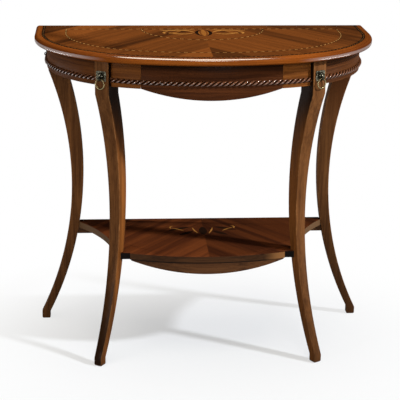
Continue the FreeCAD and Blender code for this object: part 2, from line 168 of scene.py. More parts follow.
def noise(place, along, across, detail):
    """Noise drawn out along the grain; along and across are its scales per metre."""
    drawn = place.node("VectorMath", {0: place, 1: (along, across, across)}, {"operation": "MULTIPLY"})
    return place.node("TexNoise", {"Vector": drawn, "Scale": 1.0, "Detail": detail, "Roughness": 0.55})


def figure(grain):
    """Tone and pores of a sawn board whose grain runs along the first coordinate, in metres."""
    sway = noise(grain, 4.0, 11.0, 2.0) - 0.5
    shift = grain.node("CombineXYZ", {"Y": sway * 0.02, "Z": sway * 0.008})
    swayed = grain.node("VectorMath", {0: grain, 1: shift}, {"operation": "ADD"})
    bands = rise(noise(swayed, 1.3, 62.0, 3.0), 0.34, 0.66)
    streaks = rise(noise(swayed, 7.0, 330.0, 4.0), 0.33, 0.67)
    flecks = rise(noise(swayed, 60.0, 1500.0, 2.0), 0.56, 0.72)
    return bands * 0.55 + streaks * 0.45, flecks


def new_finish(name, coat=0.0, metallic=0.0):
    """A new material: its shader, ready for colour and gloss, and a socket to start its nodes from."""
    material = bpy.data.materials.new(name)
    material.use_nodes = True
    shader = material.node_tree.nodes["Principled BSDF"]
    shader.inputs["Metallic"].default_value = metallic
    shader.inputs["Coat Weight"].default_value = coat
    shader.inputs["Coat Roughness"].default_value = dull_coat
    shader.inputs["Specular IOR Level"].default_value = 0.0
    return material, shader, Socket(material.node_tree)


def polish(shader, tint, tone, pores, roughness, relief):
    """Lead a wood's colour, gloss and open pores into its shader."""
    tint.feed(shader, "Base Color")
    gloss = roughness + (1 - tone) * tone_gloss + pores * pore_gloss
    gloss.feed(shader, "Roughness")
    height = tone * tone_height - pores
    bump = height.node("Bump", {"Strength": relief, "Distance": pore_depth, "Height": height})
    bump.feed(shader, "Normal")


def wood(name, pale, dark, roughness=0.34, rubbed=None, foot=None, foot_shade_share=0.62, head=None,
         head_span=(head_shade_from, leg_kink)):
    """Stained and polished solid wood; worn arrises get their own tint, foot and head painted shade, if
    given.
    """
    material, shader, start = new_finish(name, wood_coat)
    grain = stored(start, "grain", "Vector")
    tone, pores = figure(grain)
    tint = blend(tone, dark, pale)
    drift = rise(noise(grain, 2.2, 6.0, 2.0), 0.35, 0.65)
    tint = blend(drift * drift_share, tint, dark)
    if rubbed:
        wear = rise(noise(grain, 35.0, 35.0, 3.0), 0.42, 0.62)
        tint = blend(wear * wear_share, tint, rubbed)
    pore_tint = tuple(channel * pore_dark for channel in dark[:3]) + (1.0,)
    tint = blend(pores * pore_share, tint, pore_tint)
    # Painted shade: darker towards the foot.
    if foot:
        raised = rise(part(place_on(start), "Z"), *foot_shade_span)
        tint = blend(foot_shade_share - raised * foot_shade_share, tint, foot)
    # Painted shade: darker towards the head, up under the apron or the moulding.
    if head:
        raised = rise(part(place_on(start), "Z"), *head_span)
        tint = blend(raised * head_shade_share, tint, head)
    polish(shader, tint, tone, pores, roughness, 0.12)
    return material


def choose(*pieces):
    """Select just these pieces, the first of them as the one that is worked on."""
    bpy.ops.object.select_all(action="DESELECT")
    for piece in pieces:
        piece.select_set(True)
    bpy.context.view_layer.objects.active = pieces[0]


def close_mesh():
    """Leave a piece's mesh for the piece as a whole."""
    bpy.ops.object.mode_set(mode="OBJECT")


def pick(kind, test):
    """In an open mesh, select just the points, edges or faces that pass the test."""
    mesh = bpy.context.object.data
    bpy.ops.mesh.select_mode(type=kind)
    bpy.ops.mesh.select_all(action="DESELECT")
    shape = bmesh.from_edit_mesh(mesh)
    for item in {"VERT": shape.verts, "EDGE": shape.edges, "FACE": shape.faces}[kind]:
        if test(item):
            item.select_set(True)
    bmesh.update_edit_mesh(mesh)


def middle(edge):
    return (edge.verts[0].co + edge.verts[1].co) / 2


def runs_along(edge, axis):
    way = edge.verts[1].co - edge.verts[0].co
    return abs(way[axis]) > straight * way.length


def box_piece(name, low, high):
    """A squared block between two corners, its mesh left open."""
    size = Vector(high) - Vector(low)
    bpy.ops.mesh.primitive_cube_add(size=1, location=Vector(low) + size / 2, scale=size)
    piece = bpy.context.object
    piece.name = piece.data.name = name
    bpy.ops.object.transform_apply()
    bpy.ops.object.mode_set(mode="EDIT")
    return piece


def points_of(piece):
    points = np.empty(len(piece.data.vertices) * 3, np.float32)
    piece.data.vertices.foreach_get("co", points)
    return points.reshape(-1, 3).astype(float)


def set_points(piece, points):
    piece.data.vertices.foreach_set("co", points.astype(np.float32).ravel())
    piece.data.update()


def write_grain(piece, start, axes=(0, 2, 1)):
    """Store on every point how far along, across and into the board it lies, in that order of axes."""
    grain = points_of(piece)[:, axes] + start
    layer = piece.data.attributes.new("grain", "FLOAT_VECTOR", "POINT")
    layer.data.foreach_set("vector", grain.astype(np.float32).ravel())


def apply_modifier(piece, kind, **settings):
    choose(piece)
    modifier = piece.modifiers.new(kind.lower(), kind)
    for name, value in settings.items():
        setattr(modifier, name, value)
    bpy.ops.object.modifier_apply(modifier=modifier.name)


def dress(piece, *finishes):
    for finish in finishes:
        piece.data.materials.append(finish)


def ease(piece, width, *finishes):
    """Put on the finishes and round the sharp arrises, whose narrow faces take the second, rubbed one."""
    dress(piece, *finishes)
    apply_modifier(
        piece, "BEVEL", width=width, segments=3, limit_method="ANGLE", angle_limit=arris_angle, material=1
    )


def fit(piece, body, slot, *replaced):
    """Shade the piece and hand it to the frame, in place of the solids that it stands for."""
    choose(piece)
    bpy.ops.object.shade_smooth_by_angle(angle=smooth_angle)
    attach(piece, body)
    if replaced:
        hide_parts(*replaced)


def bow_at(top_x, foot_x, bow, z):
    """How far out a bowed side of the leg lies at a height, in the leg's own frame."""
    across, down = foot_x - top_x, foot_height - leg_kink
    chord = math.hypot(across, down)
    radius = chord ** 2 / (8 * bow) + bow / 2
    reach = radius - bow
    centre_x = (top_x + foot_x) / 2 - down / chord * reach
    centre_z = (leg_kink + foot_height) / 2 + across / chord * reach
    return centre_x - math.sqrt(radius ** 2 - (z - centre_z) ** 2)


def leg_section(z):
    """Middle, depth and width of the leg at a height."""
    outer = bow_at(0, foot_splay, outer_bow, z)
    inner = bow_at(-leg_depth, foot_splay - foot_depth, inner_bow, z)
    share = (z - foot_height) / (leg_kink - foot_height)
    return (outer + inner) / 2, outer - inner, foot_width + share * (leg_width - foot_width)


def extrude_to(before, after, drop):
    """Carry the picked face down to the next section of the leg."""
    bpy.ops.mesh.extrude_region_move(TRANSFORM_OT_translate={"value": (after[0] - before[0], 0, -drop)})


def sabre_leg(name):
    """A leg in its own frame: +X outwards, the face of its block at x = 0."""
    leg = box_piece(name, (-leg_depth, -leg_width / 2, leg_kink), (0, leg_width / 2, leg_top))
    pick("FACE", lambda face: face.normal.z < -facing)
    section = leg_section(leg_kink)
    step = (leg_kink - foot_height) / leg_steps
    z = leg_kink
    for _ in range(leg_steps):
        z -= step
        lower = leg_section(z)
        extrude_to(section, lower, step)
        bpy.ops.transform.resize(
            value=(lower[1] / section[1], lower[2] / section[2], 1), center_override=(lower[0], 0, z)
        )
        section = lower
    extrude_to(section, section, foot_height - foot_chamfer)
    extrude_to(section, section, foot_chamfer)
    bpy.ops.transform.resize(
        value=(1 - 2 * foot_chamfer / foot_depth, 1 - 2 * foot_chamfer / foot_width, 1),
        center_override=(section[0], 0, 0),
    )
    close_mesh()
    return leg


def stand(piece, place):
    """Move a piece drawn in a leg's own frame to that leg; its ring's hinge tells where it stands."""
    hinge = next(joint for joint in frame["joints"] if joint["child"] == "ring_" + place)
    outwards = Vector((0, 0, 1)).cross(Vector(hinge["axis"]))
    foot = Vector(hinge["pos_m"]) - outwards * eye_reach
    turn = Matrix.Rotation(math.atan2(outwards.y, outwards.x), 4, "Z")
    piece.data.transform(Matrix.Translation((foot.x, foot.y, 0)) @ turn)


# The foot tint is painted shade, darkest at the feet.
pale, dark, foot_shade = colour(142, 93, 53), colour(86, 53, 29), colour(28, 16, 9)
leg_finishes = [
    wood("leg_walnut", pale, dark, foot=foot_shade),
    wood("leg_walnut_rubbed", pale, dark, rubbed=colour(152, 104, 62), foot=foot_shade),
    wood("leg_walnut_side", colour(152, 93, 44), colour(93, 54, 24), foot=foot_shade, foot_shade_share=0.5,
         head=colour(8, 5, 3)),
    wood("leg_walnut_shaded", pale, dark, foot=foot_shade, foot_shade_share=0.96),
    wood("leg_walnut_rear", colour(124, 82, 46), colour(75, 46, 25), foot=foot_shade, head=colour(82, 46, 23)),
]
SIDE_LIGHT_AND_SHADE_WOOD, PAINTED_SHADE_WOOD, REAR_SHADE_WOOD = 2, 3, 4
PLACES = ["front_left", "front_right", "rear_left", "rear_right"]
for number, place in enumerate(PLACES):
    leg = sabre_leg("sabre_leg_" + place)
    write_grain(leg, (number * 1.37, number * 0.31, 0.05), (2, 1, 0))
    dress(leg, *leg_finishes)
    # Front legs' sides: painted light lower down, painted shade under the apron; front left outer face:
    # painted shade low down; rear right sides: painted shade.
    for face in leg.data.polygons:
        if "front" in place and abs(face.normal.y) > facing:
            face.material_index = SIDE_LIGHT_AND_SHADE_WOOD
        elif place == "front_left" and face.normal.x > outer_facing:
            face.material_index = PAINTED_SHADE_WOOD
        elif place == "rear_right" and abs(face.normal.y) > facing:
            face.material_index = REAR_SHADE_WOOD
    ease(leg, leg_arris)
    stand(leg, place)
    fit(leg, "frame", "walnut_solid", "leg_" + place)


# Apron: curved walnut boards dowelled between the legs, their grain running round the table,
# and a straight rail across the back. The boards are sawn and bent here as one run from the front's middle.
edge_low, edge_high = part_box("top_edge_moulding")
half_width, back_y = edge_high.x, edge_high.y
side_radius, front_radius, end_straight = 0.3456, 0.6835, 0.1149
side_x, side_y = half_width - side_radius, back_y - end_straight
front_y = edge_low.y + front_radius
arc_turn = math.asin(side_x / (front_radius - side_radius))
apron_inset, apron_thickness = 0.0313, 0.020
board_low, board_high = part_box("side_apron_right")
apron_low, apron_high = board_low.z, board_high.z
seam_gap = 0.0004
half_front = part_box("drawer_front")[1].x
seam_x = half_front + seam_gap
apron_arris, apron_step = 0.0008, 0.008
into_leg = 0.004
run_join = (front_radius - apron_inset) * arc_turn
run_turn = run_join + (side_radius - apron_inset) * (math.pi / 2 - arc_turn)
leg_angle = math.radians(32)
run_leg = run_join + (side_radius - apron_inset) * (leg_angle - arc_turn)
run_rear = run_turn + board_high.y - side_y + into_leg
SIDES = (("left", -1), ("right", 1))


def side_run(sign):
    """Where a side board starts and ends, a little inside the legs."""
    return sorted((sign * (run_leg + leg_width / 2 - into_leg), sign * run_rear))


def front_run(sign):
    """Where a front board starts and ends, before it is sawn at the drawer's seam."""
    return sorted((sign * (seam_x - into_leg), sign * (run_leg - leg_width / 2 + into_leg)))


def plan(run, inset):
    """Plan places of points given by their run along the apron's face and their inset from the top's edge."""
    sign, run = np.sign(run), np.abs(run)
    front = run / (front_radius - apron_inset)
    side = arc_turn + (run - run_join) / (side_radius - apron_inset)
    front_arc, side_arc = front_radius - inset, side_radius - inset
    on_front, on_end = run < run_join, run > run_turn
    x = np.where(on_front, front_arc * np.sin(front), side_x + side_arc * np.sin(side))
    y = np.where(on_front, front_y - front_arc * np.cos(front), side_y - side_arc * np.cos(side))
    x = np.where(on_end, half_width - inset, x)
    y = np.where(on_end, side_y + run - run_turn, y)
    return sign * x, y


def bend(piece, path=plan):
    """Bend a straight piece along a path; on the table's plan, x is its run and y its inset from the edge."""
    points = points_of(piece)
    points[:, 0], points[:, 1] = path(points[:, 0], points[:, 1])
    set_points(piece, points)


def cross_cut(step):
    """Cut the open bar's long edges across, every step along X, so that it can bend."""
    pick("EDGE", lambda edge: runs_along(edge, 0))
    shape = bmesh.from_edit_mesh(bpy.context.object.data)
    longest = max(edge.calc_length() for edge in shape.edges if edge.select)
    bpy.ops.mesh.subdivide(number_cuts=round(longest / step))


def bar(name, low, high, step):
    """A squared bar between two corners, cut across and ready to bend."""
    piece = box_piece(name, low, high)
    cross_cut(step)
    close_mesh()
    return piece


def open_mesh(piece):
    """Go into a piece's mesh, with all of it picked."""
    choose(piece)
    bpy.ops.object.mode_set(mode="EDIT")
    bpy.ops.mesh.select_all(action="SELECT")


def saw(piece, x, keep):
    """Saw a bent piece straight through at x, keeping its inner (-1) or outer (1) side for positive x."""
    open_mesh(piece)
    bpy.ops.mesh.bisect(
        plane_co=(x, 0, 0), plane_no=(1, 0, 0), use_fill=True, clear_inner=keep > 0, clear_outer=keep < 0
    )
    close_mesh()


def curved_board(name, ends, grain_start):
    """A board of the apron between two runs, bent to the plan and still square-edged."""
    start, end = ends
    board = bar(
        name, (start, apron_inset, apron_low), (end, apron_inset + apron_thickness, apron_high), apron_step
    )
    write_grain(board, grain_start)
    bend(board)
    return board


def board_finishes(name, pale, dark, rubbed, reach):
    """A board's wood and its rubbed arrises; painted shade darkens both under the moulding, down to this
    reach.
    """
    head = {"head": colour(18, 9, 5), "head_span": (apron_high - reach, apron_high)}
    return wood(name, pale, dark, **head), wood(name + "_rubbed", pale, dark, rubbed=rubbed, **head)


front_finishes = board_finishes(
    "apron_walnut", colour(156, 95, 43), colour(94, 52, 23), colour(164, 106, 58), 0.012
)
# The side boards are painted darker than the front ones, as painted shade.
side_shaded_finishes = board_finishes(
    "side_apron_walnut", colour(122, 72, 35), colour(72, 39, 18), colour(138, 88, 48), 0.016
)
for number, (side, sign) in enumerate(SIDES):
    board = curved_board("side_apron_board_" + side, side_run(sign), (number * 0.7, 0.1, 0.2))
    ease(board, apron_arris, *side_shaded_finishes)
    fit(board, "frame", "walnut_solid", "side_apron_" + side)

    board = curved_board("front_apron_board_" + side, front_run(sign), (number * 0.9, 0.3, 0.4))
    saw(board, sign * seam_x, sign)
    ease(board, apron_arris, *front_finishes)
    fit(board, "frame", "walnut_solid", "front_apron_" + side)

rail = box_piece("back_rail_board", *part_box("back_rail"))
close_mesh()
write_grain(rail, (2.1, 0.5, 0.1))
ease(rail, apron_arris, *front_finishes)
fit(rail, "frame", "walnut_solid", "back_rail")


# Rope moulding: a half-round bar carved as three twisted strands, glued to the apron a little above its edge.
# It runs round the table, is parted by the legs, and is sawn through at the drawer's ends.
# The grooves are darker, near black at their bottoms, and the crowns are rubbed bright.
rope_radius, rope_sunk = 0.0065, 0.0006
rope_z = sum(corner.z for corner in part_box("front_rope_right")) / 2
rope_strands, rope_lump, rope_groove = 3, 0.0139, 0.42
rope_points, rope_turn_steps = 36, 27
rope_ior, rope_crown = 2.2, 0.7
drawer_run = half_front + into_leg * 2


def brighten(shader, gloss, ior):
    """A hard, bright polish where the gloss lets it show."""
    shader.inputs["Coat Roughness"].default_value = bright_coat
    shader.inputs["Coat IOR"].default_value = ior
    gloss.feed(shader, "Coat Weight")


rope_finish, shader, start = new_finish("rope_walnut")
hollow = stored(start, "hollow")
tone, pores = figure(stored(start, "grain", "Vector"))
tint = blend(tone, colour(78, 46, 29), colour(128, 80, 52))
# Darker towards the bottoms of the grooves.
tint = blend(rise(hollow, 0.1, 0.7), tint, colour(14, 8, 5))
brighten(shader, (1 - rise(hollow, 0.0, 0.25)) * rope_crown, rope_ior)
polish(shader, tint, tone, pores, 0.34, 0.1)


def write_share(piece, name, shares):
    """Store a share from 0 to 1 on every point, for the piece's finish to read."""
    layer = piece.data.attributes.new(name, "FLOAT", "POINT")
    layer.data.foreach_set("value", np.clip(shares, 0, 1).astype(np.float32))


def rope_bar(name, start, end):
    """A twisted bar between two runs, flat at the back and bent to the apron."""
    bpy.ops.mesh.primitive_circle_add(vertices=rope_points, radius=rope_radius, rotation=(0, math.pi / 2, 0))
    rope = bpy.context.object
    rope.name = rope.data.name = name
    bpy.ops.object.transform_apply()
    points = points_of(rope)
    whole_turn = rope_strands * rope_lump
    angle = np.arctan2(points[:, 2], points[:, 1]) + math.tau * start / whole_turn
    swell = 1 - rope_groove * (1 - np.abs(np.cos(angle * rope_strands / 2)))
    points[:, 1:] *= swell[:, None]
    set_points(rope, points)
    turns = (end - start) / whole_turn
    steps = math.ceil(turns * rope_turn_steps)
    apply_modifier(
        rope, "SCREW", axis="X", angle=-math.tau * turns, screw_offset=end - start, steps=steps,
        render_steps=steps,
    )
    open_mesh(rope)
    bpy.ops.mesh.fill_holes(sides=0)
    bpy.ops.mesh.normals_make_consistent(inside=False)
    close_mesh()
    points = points_of(rope)
    points[:, 0] += start
    hollow = 1 - np.hypot(points[:, 1], points[:, 2]) / rope_radius
    points[:, 1] = np.minimum(points[:, 1], rope_sunk) + apron_inset
    points[:, 2] += rope_z
    set_points(rope, points)
    write_grain(rope, (0.4, 0.2, 0.3))
    write_share(rope, "hollow", hollow / rope_groove)
    bend(rope)
    dress(rope, rope_finish)
    return rope


for side, sign in SIDES:
    rope = rope_bar("side_rope_carved_" + side, *side_run(sign))
    fit(rope, "frame", "carved_rope", "side_rope_" + side)
    rope = rope_bar("front_rope_carved_" + side, *front_run(sign))
    saw(rope, sign * seam_x, sign)
    fit(rope, "frame", "carved_rope", "front_rope_" + side)
rope = rope_bar("drawer_rope_carved", -drawer_run, drawer_run)
saw(rope, half_front, -1)
saw(rope, -half_front, 1)
fit(rope, "drawer", "carved_rope", "drawer_rope")


# Drawer front: a bowed walnut board with a lower edge that drops in the middle, darker than the apron
# beside it and with its grain lying level. It is opened by that edge, and has no pull.
drawer_low, drawer_high = (corner.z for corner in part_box("drawer_front"))
drawer_thickness = 0.018
drop_rise = apron_low - drawer_low
drop_radius = half_front ** 2 / (2 * drop_rise) + drop_rise / 2

front_board = bar(
    "drawer_front_board", (-drawer_run, apron_inset, drawer_low),
    (drawer_run, apron_inset + drawer_thickness, drawer_high), apron_step,
)
points = points_of(front_board)
across = (front_radius - apron_inset) * np.sin(points[:, 0] / (front_radius - apron_inset))
dropped = drawer_low + drop_radius - np.sqrt(drop_radius ** 2 - across ** 2)
points[:, 2] = np.where(points[:, 2] < apron_low - drop_rise / 2, dropped, points[:, 2])
set_points(front_board, points)
write_grain(front_board, (3.3, 0.7, 0.6))
bend(front_board)
saw(front_board, half_front, -1)
saw(front_board, -half_front, 1)
# The drawer front takes the deepest painted shadow under the moulding.
ease(front_board, apron_arris, *board_finishes(
    "drawer_walnut", colour(104, 58, 30), colour(58, 30, 15), colour(120, 74, 42), 0.03
))
fit(front_board, "drawer", "drawer_veneer", "drawer_front")


# Inner pieces: plain oiled beech for the drawer box, its runners and stops, the rail over the drawer, corner
# blocks and dowels. They keep their solids, with the grain along each piece's length.
def beech(name, turn):
    """Pale beech with short ray flecks, grain along X after the turn about Z."""
    material, shader, start = new_finish(name)
    grain = start.node("Mapping", {"Vector": place_on(start), "Rotation": (0, 0, turn)})
    tone, pores = figure(grain)
    tint = blend(tone, colour(168, 126, 84), colour(205, 166, 120))
    flecks = rise(noise(grain, 160.0, 700.0, 2.0), 0.58, 0.7)
    tint = blend(flecks * 0.5, tint, colour(150, 104, 66))
    polish(shader, tint, tone, pores, 0.46, 0.08)
    return material


def finish_solids(finish, *names):
    """Finish pieces that keep their solids."""
    for name in names:
        nodes[name].material_slots[0].material = finish


finish_solids(
    beech("beech_across", 0.0), "front_top_rail", "corner_blocks", "apron_dowels", "drawer_back",
    "drawer_bottom", "shelf_dowels",
)
finish_solids(
    beech("beech_deep", math.pi / 2), "drawer_runner_left", "drawer_runner_right", "drawer_stops",
    "drawer_side_left", "drawer_side_right",
)


# Screws: plain steel, a little stained, driven up through the rails into the top board to hold it.
# They keep their solids.
screw_steel, shader, start = new_finish("screw_steel", metallic=1.0)
stain = rise(noise(place_on(start), 400.0, 400.0, 3.0), 0.4, 0.65)
blend(stain, colour(150, 148, 144), colour(96, 92, 88)).feed(shader, "Base Color")
(0.3 + stain * 0.25).feed(shader, "Roughness")
finish_solids(screw_steel, "top_screws")


# Ring plates: small square plaques cast in brass, each with a lion-like mask whose jaw carries the eye of a
# hanging ring. They are pinned to the leg blocks; the brass is browned, and bright where it is touched.
plate_width, plate_height, plate_thickness = 0.028, 0.0245, 0.002
eye_z = next(joint for joint in frame["joints"] if joint["type"] == "hinge")["pos_m"][2]
plate_foot = eye_z - 0.0055
plate_corner, plate_rim, plate_sunk = 0.003, 0.0016, 0.0008
CHEEK, BROW_RISE = (0.0036, 0.0008), 0.0052
mask_z, mask_sunk, mask_voxel = eye_z + 0.0069, 0.0005, 0.00032
mane_locks, mane_radius = 15, 0.0072
cheek_reach, brow_reach, ground_touch = 0.0016, 0.001, 0.37
eye_outer, eye_bore, eye_length = 0.0086, 0.0048, 0.006
ring_radius, ring_wire, ring_swell = 0.012, 0.003, 0.22


def lump(place, size):
    """One rounded mass of the mask."""
    bpy.ops.mesh.primitive_uv_sphere_add(segments=20, ring_count=12, radius=1, location=place, scale=size)
    bpy.ops.object.transform_apply()
    return bpy.context.object


def join(*pieces):
    """Run pieces together into the first of them."""
    choose(*pieces)
    bpy.ops.object.join()
    return pieces[0]


def lion_mask():
    """Forehead, brow, cheeks, muzzle, ears, nose and a ring of mane locks, run together as in a casting."""
    ground = plate_thickness - mask_sunk
    masses = []

    def mass(out, aside, up, *size):
        masses.append(lump((ground + out, aside, mask_z + up), size))

    mass(0.0006, 0, 0.0008, 0.0030, 0.0056, 0.0068)
    mass(0.0028, 0, BROW_RISE, 0.0014, 0.0030, 0.0012)
    for side in (-1, 1):
        mass(0.0027, side * CHEEK[0], CHEEK[1], 0.0017, 0.0019, 0.0017)
        mass(0.0020, side * 0.0026, -0.0034, 0.0020, 0.0022, 0.0018)
        mass(0.0010, side * 0.0054, 0.0054, 0.0016, 0.0018, 0.0022)
    mass(0.0030, 0, -0.0008, 0.0018, 0.0012, 0.0034)
    for lock in range(mane_locks):
        turn = math.tau * (lock + 0.5) / mane_locks
        mass(0.0004, mane_radius * math.sin(turn), mane_radius * math.cos(turn), 0.0014, 0.0016, 0.0016)
    mask = join(*masses)
    apply_modifier(mask, "REMESH", mode="VOXEL", voxel_size=mask_voxel)
    apply_modifier(mask, "SMOOTH", factor=0.5, iterations=3)
    return mask


def ring_plate(name):
    """Plaque, mask and eye in the leg's own frame, joined as one casting."""
    half = plate_width / 2
    crown = plate_foot + plate_height
    plaque = box_piece(name, (0, -half, plate_foot), (plate_thickness, half, crown))
    pick("EDGE", lambda edge: runs_along(edge, 0) and abs(middle(edge).z - crown) < 1e-5)
    bpy.ops.mesh.bevel(offset=plate_corner, segments=6)
    pick("FACE", lambda face: face.normal.x > facing)
    bpy.ops.mesh.inset(thickness=plate_rim)
    bpy.ops.mesh.inset(thickness=plate_sunk, depth=-plate_sunk)
    close_mesh()
    bpy.ops.mesh.primitive_torus_add(
        location=(eye_reach, 0, eye_z), rotation=(math.pi / 2, 0, 0), major_segments=32, minor_segments=16,
        major_radius=(eye_outer + eye_bore) / 4, minor_radius=(eye_outer - eye_bore) / 4,
    )
    eye = bpy.context.object
    eye.scale.z = eye_length / (eye_outer - eye_bore) * 2
    bpy.ops.object.transform_apply()
    jaw = lump((eye_reach - 0.0042, 0, eye_z + 0.0005), (0.0034, eye_length / 2, 0.0036))
    join(plaque, eye, jaw, lion_mask())
    points = points_of(plaque) - (0, 0, mask_z)
    cheeks = np.hypot(np.abs(points[:, 1]) - CHEEK[0], points[:, 2] - CHEEK[1])
    brow = np.hypot(points[:, 1] / 2, points[:, 2] - BROW_RISE)
    bare = np.exp(-((cheeks / cheek_reach) ** 2)) + 0.6 * np.exp(-((brow / brow_reach) ** 2))
    write_share(plaque, "touched", np.where(points[:, 0] > plate_thickness + 0.0002, bare, ground_touch))
    return plaque


def hanging_ring(name):
    """A cast ring, a little thicker at the bottom where it is taken hold of."""
    bpy.ops.mesh.primitive_torus_add(
        location=(0, 0, 0), rotation=(0, math.pi / 2, 0), major_segments=72, minor_segments=20,
        major_radius=ring_radius, minor_radius=ring_wire / 2,
    )
    ring = bpy.context.object
    ring.name = ring.data.name = name
    bpy.ops.object.transform_apply()
    points = points_of(ring)
    turn = np.arctan2(points[:, 1], points[:, 2])
    heart = np.stack([np.zeros_like(turn), ring_radius * np.sin(turn), ring_radius * np.cos(turn)], 1)
    swell = 1 + ring_swell * (1 - np.cos(turn))[:, None] / 2
    points = heart + (points - heart) * swell + (eye_reach, 0, eye_z - ring_radius)
    set_points(ring, points)
    write_share(ring, "touched", 0.55 + 0.45 * (1 - np.cos(turn)) / 2)
    return ring


def brass(name, bright, brown):
    """Browned brass: dark in the ground, bright on what stands out or is handled."""
    material, shader, start = new_finish(name, metallic=1.0)
    blotch = noise(place_on(start), 260.0, 260.0, 4.0)
    shine = rise(stored(start, "touched") + (blotch - 0.5) * 0.7, 0.25, 0.75)
    blend(shine, brown, bright).feed(shader, "Base Color")
    (0.5 - shine * 0.25).feed(shader, "Roughness")
    bump = blotch.node("Bump", {"Strength": 0.2, "Distance": 0.0002, "Height": blotch})
    bump.feed(shader, "Normal")
    return material


plate_brass = brass("plate_brass", colour(196, 192, 168), colour(34, 32, 24))
ring_brass = brass("ring_brass", colour(132, 118, 84), colour(60, 53, 38))
for place in PLACES:
    plate = ring_plate("lion_plate_" + place)
    dress(plate, plate_brass)
    stand(plate, place)
    fit(plate, "frame", "antique_brass", "ring_plate_" + place)
    ring = hanging_ring("drop_ring_" + place)
    dress(ring, ring_brass)
    stand(ring, place)
    fit(ring, "ring_" + place, "antique_brass", "ring_" + place)
finish_solids(ring_brass, "plate_pins")


# Edge moulding of the top: solid walnut glued round the board, a full round above and a smaller one below.
# It is polished bright: the crown in front and the upright face at the sides. Painted shade darkens its
# colour towards both ends, more on the right.
nosing_width, nosing_crown, nosing_undercut = 0.0182, 0.0086, 0.0051
nosing_low, nosing_high = edge_low.z, edge_high.z
nosing_end = run_turn + end_straight
nosing_step, nosing_segments, nosing_ior = 0.003, 14, 3.5
crown_fade, face_start, face_share = (0.22, 0.3), (0.25, 0.34), 0.55


def under_crown(share):
    """Height at a share of the crown's radius below the top."""
    return nosing_high - nosing_crown * share


def reopen(material):
    """A finish's shader and the colour that leads into it, to work on further."""
    shader = material.node_tree.nodes["Principled BSDF"]
    return shader, Socket(material.node_tree, shader.inputs["Base Color"].links[0].from_socket)


nosing = box_piece(
    "edge_moulding_polished", (-nosing_end, 0, nosing_low), (nosing_end, nosing_width, nosing_high)
)
for level, radius in ((nosing_high, nosing_crown), (nosing_low, nosing_undercut)):
    arris = Vector((0, 0, level))
    pick("EDGE", lambda edge: runs_along(edge, 0) and (middle(edge) - arris).length < 1e-4)
    bpy.ops.mesh.bevel(offset=radius, segments=nosing_segments)
cross_cut(nosing_step)
close_mesh()
write_grain(nosing, (5.1, 0.9, 0.2))
bend(nosing)
nosing_finish = wood("moulding_walnut", colour(170, 95, 35), colour(116, 58, 19), roughness=0.3)
shader, tint = reopen(nosing_finish)
place = place_on(tint)
height, side = part(place, "Z"), part(place, "X")
aside, right_hand = abs(side), rise(side, 0.0, 0.1)
crown_gloss = rise(height, under_crown(0.75), under_crown(0.45))
crown_gloss = crown_gloss * (1 - rise(aside + right_hand * 0.1, *crown_fade))
face_gloss = rise(height, nosing_low + nosing_undercut * 0.4, nosing_low + nosing_undercut)
face_gloss = face_gloss * (1 - rise(height, under_crown(0.98), under_crown(0.85)))
face_gloss = face_gloss * rise(aside + right_hand * 0.05, *face_start) * face_share
brighten(shader, crown_gloss.math("MAXIMUM", face_gloss), nosing_ior)
# Painted shade towards the ends, deeper on the right.
painted_shade = rise(aside, 0.2, 0.34) * (0.2 + right_hand * 0.16) + rise(aside, 0.32, 0.42) * 0.24
blend(painted_shade, tint, colour(52, 20, 10)).feed(shader, "Base Color")
dress(nosing, nosing_finish)
fit(nosing, "frame", "walnut_solid", "top_edge_moulding")


# Top board and its veneer: diagonal walnut leaves matched at the middle, inside a border of the same leaves
# set the other way in tone. The sheet lies a hair under the inlay that is let into it.
inlay_step = 0.0001
leaf_slant = math.radians(54.5)
border_width, back_border = 0.081, 0.058
ACROSS_LOW, ACROSS_HIGH = -0.28, 0.36
light_leaf, dark_leaf = colour(144, 81, 33), colour(40, 21, 10)
veneer_coat, solid_coat, solid_roughness = 0.16, 0.12, 0.42
joint_span = (0.0006, 0.002)


def leaf_tones(across, *stops):
    """Tone of the veneer leaves by their place across the slant: pairs of place and tone."""
    span = ACROSS_HIGH - ACROSS_LOW
    places = [((place - ACROSS_LOW) / span, (tone, tone, tone, 1)) for place, tone in stops]
    share = (across - ACROSS_LOW) / span
    return share.node("ValToRGB", {"Fac": share}, {"stops": places})


def outline_inset(x, y):
    """How far inside the top's edge a point of the plan lies."""
    def from_centre(centre_x, centre_y, radius):
        dx, dy = x - centre_x, y - centre_y
        return radius - (dx * dx + dy * dy).math("SQRT")

    in_front = x < (front_y - y) * math.tan(arc_turn)
    behind = y > side_y
    side = from_centre(side_x, side_y, side_radius)
    inset = side + in_front * (from_centre(0.0, front_y, front_radius) - side)
    return inset + behind * (half_width - x - inset)


def slanted(place):
    """Place on the veneer as x, y, along and across the leaves, mirrored at the middle of the table."""
    x, y = abs(part(place, "X")), part(place, "Y")
    along = y * math.sin(leaf_slant) - x * math.cos(leaf_slant)
    across = x * math.sin(leaf_slant) + y * math.cos(leaf_slant)
    return x, y, along, across


